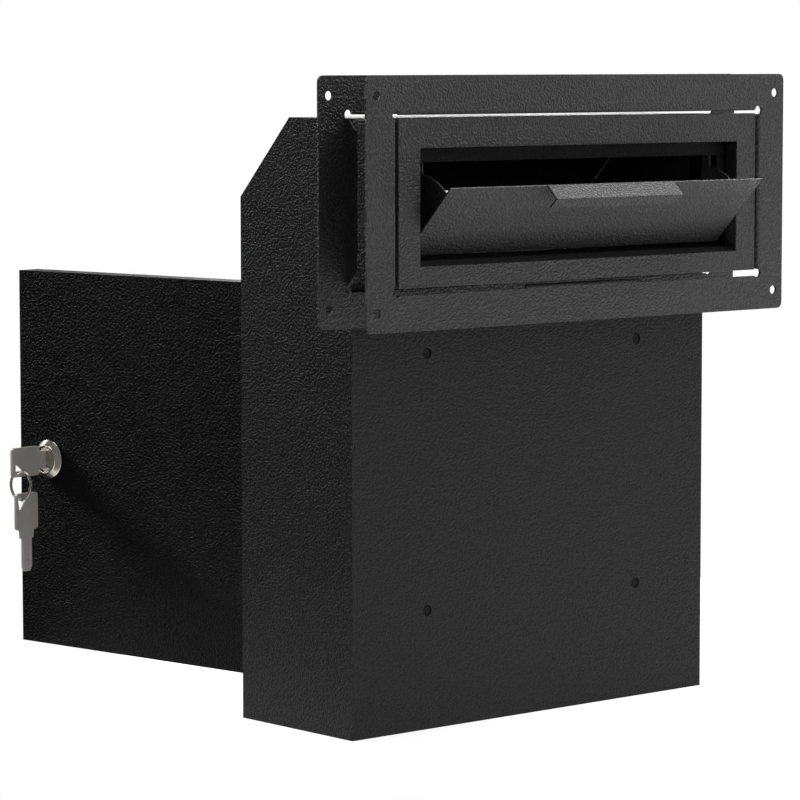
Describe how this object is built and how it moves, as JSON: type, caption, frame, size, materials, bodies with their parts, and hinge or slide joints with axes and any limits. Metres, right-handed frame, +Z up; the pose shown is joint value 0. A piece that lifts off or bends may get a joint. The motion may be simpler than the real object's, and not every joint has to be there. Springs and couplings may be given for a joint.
{
  "type": "through-the-door parcel drop box",
  "caption": "Black sheet steel drop box hung inside a door, with a mail chute through it, trim plates, an open hopper flap and a lockable rear door.",
  "frame": {"origin": "centre of the underside of the box", "axes": "+Z up, +X along the width, -Y to the street side where the flap is, +Y to the room side where the rear door is"},
  "size_m": [0.3632, 0.433, 0.409],
  "materials": {
    "powder_coat": "black wrinkle powder coat on steel",
    "nickel": "satin nickel plate",
    "plastic": "matt black plastic",
    "zinc": "zinc-plated steel"
  },
  "bodies": {
    "box": {"box_wrap": "powder_coat", "hole_plug_1": "plastic", "hole_plug_2": "plastic", "hole_plug_3": "plastic", "hole_plug_4": "plastic", "bottom_panel": "powder_coat", "top_cover": "powder_coat", "rear_frame": "powder_coat", "lower_door_stop": "powder_coat", "upper_door_stop": "powder_coat", "chute_sleeve": "powder_coat", "chute_face": "powder_coat", "flap_stop_frame": "powder_coat", "sill_deck": "powder_coat", "left_hinge_bracket": "powder_coat", "right_hinge_bracket": "powder_coat", "left_pivot_pin": "zinc", "right_pivot_pin": "zinc", "lower_frame_leaf": "zinc", "upper_frame_leaf": "zinc", "lower_hinge_pin": "zinc", "upper_hinge_pin": "zinc", "frame_rivet_1": "zinc", "frame_rivet_2": "zinc", "frame_rivet_3": "zinc", "frame_rivet_4": "zinc"},
    "flap": {"flap_panel": "powder_coat", "left_flap_cheek": "powder_coat", "right_flap_cheek": "powder_coat"},
    "outer_trim": {"front_plate": "powder_coat"},
    "inner_trim": {"rear_plate": "powder_coat"},
    "door": {"door_panel": "powder_coat", "lower_door_leaf": "zinc", "upper_door_leaf": "zinc", "door_rivet_1": "zinc", "door_rivet_2": "zinc", "door_rivet_3": "zinc", "door_rivet_4": "zinc", "lock_housing": "nickel", "lock_nut": "zinc"},
    "lock": {"lock_plug": "nickel", "lock_cam": "zinc", "cam_nut": "zinc"},
    "key": {"key": "nickel"},
    "ring": {"key_ring": "nickel"},
    "spare": {"spare_key": "nickel"}
  },
  "joints": [
    {"name": "flap_hinge", "type": "hinge", "parent": "box", "child": "flap", "pos_m": [0, -0.08165, 0.31055], "axis": [1, 0, 0], "range_deg": [-44.65, 0]},
    {"name": "front_plate_slide", "type": "slide", "parent": "box", "child": "outer_trim", "axis": [0, 1, 0], "range_m": [-0.006, 0.012]},
    {"name": "rear_plate_slide", "type": "slide", "parent": "box", "child": "inner_trim", "axis": [0, -1, 0], "range_m": [0, 0.012]},
    {"name": "door_hinge", "type": "hinge", "parent": "box", "child": "door", "pos_m": [-0.1218, 0.0564, 0.1483], "axis": [0, 0, 1], "range_deg": [-97.67, 67.33]},
    {"name": "lock_turn", "type": "hinge", "parent": "door", "child": "lock", "pos_m": [-0.15055, 0.26987, 0.1481], "axis": [0.9911, 0.1335, 0], "range_deg": [0, 90]},
    {"name": "key_pull", "type": "slide", "parent": "lock", "child": "key", "axis": [-0.9911, -0.1335, 0], "range_m": [0, 0.024]},
    {"name": "ring_swing", "type": "hinge", "parent": "key", "child": "ring", "pos_m": [-0.17463, 0.26663, 0.1418], "axis": [-0.1335, 0.9911, 0], "range_deg": [-6, 35]},
    {"name": "spare_key_swing", "type": "hinge", "parent": "ring", "child": "spare", "pos_m": [-0.17463, 0.26663, 0.1226], "axis": [-0.1335, 0.9911, 0], "range_deg": [-6, 35]}
  ]
}
